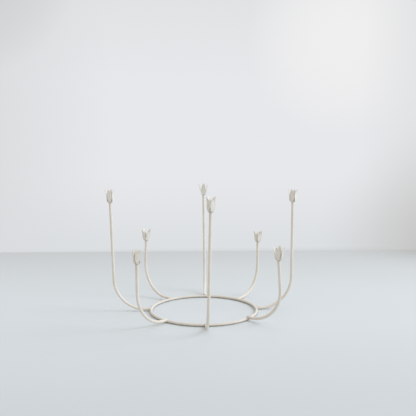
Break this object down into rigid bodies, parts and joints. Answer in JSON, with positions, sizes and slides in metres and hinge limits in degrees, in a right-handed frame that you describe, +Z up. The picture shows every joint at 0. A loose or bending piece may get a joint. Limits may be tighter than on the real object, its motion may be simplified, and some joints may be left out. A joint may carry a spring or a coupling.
{
  "type": "candelabra",
  "caption": "Free-standing candelabra of coated steel rod: a flat round ring carries tall and short curved arms, each ending in a tulip cup of pointed petals for a slim candle.",
  "frame": {"origin": "middle of the base ring, on the table", "axes": "+Z up, -Y towards the front arm, +X towards the right arm, as seen in the picture"},
  "size_m": [0.5506, 0.5631, 0.352],
  "materials": {
    "ring": "satin cream powder coat",
    "arms": "satin cream powder coat",
    "cups": "satin cream powder coat on pressed sheet",
    "welds": "satin cream powder coat over weld bead"
  },
  "bodies": {
    "root": {"base_ring": "ring", "arm_right": "arms", "ring_weld_right": "welds", "cup_weld_right": "welds", "cup_right": "cups", "arm_back_right": "arms", "ring_weld_back_right": "welds", "cup_weld_back_right": "welds", "cup_back_right": "cups", "arm_back": "arms", "ring_weld_back": "welds", "cup_weld_back": "welds", "cup_back": "cups", "arm_back_left": "arms", "ring_weld_back_left": "welds", "cup_weld_back_left": "welds", "cup_back_left": "cups", "arm_left": "arms", "ring_weld_left": "welds", "cup_weld_left": "welds", "cup_left": "cups", "arm_front_left": "arms", "ring_weld_front_left": "welds", "cup_weld_front_left": "welds", "cup_front_left": "cups", "arm_front": "arms", "ring_weld_front": "welds", "cup_weld_front": "welds", "cup_front": "cups", "arm_front_right": "arms", "ring_weld_front_right": "welds", "cup_weld_front_right": "welds", "cup_front_right": "cups"}
  },
  "joints": []
}
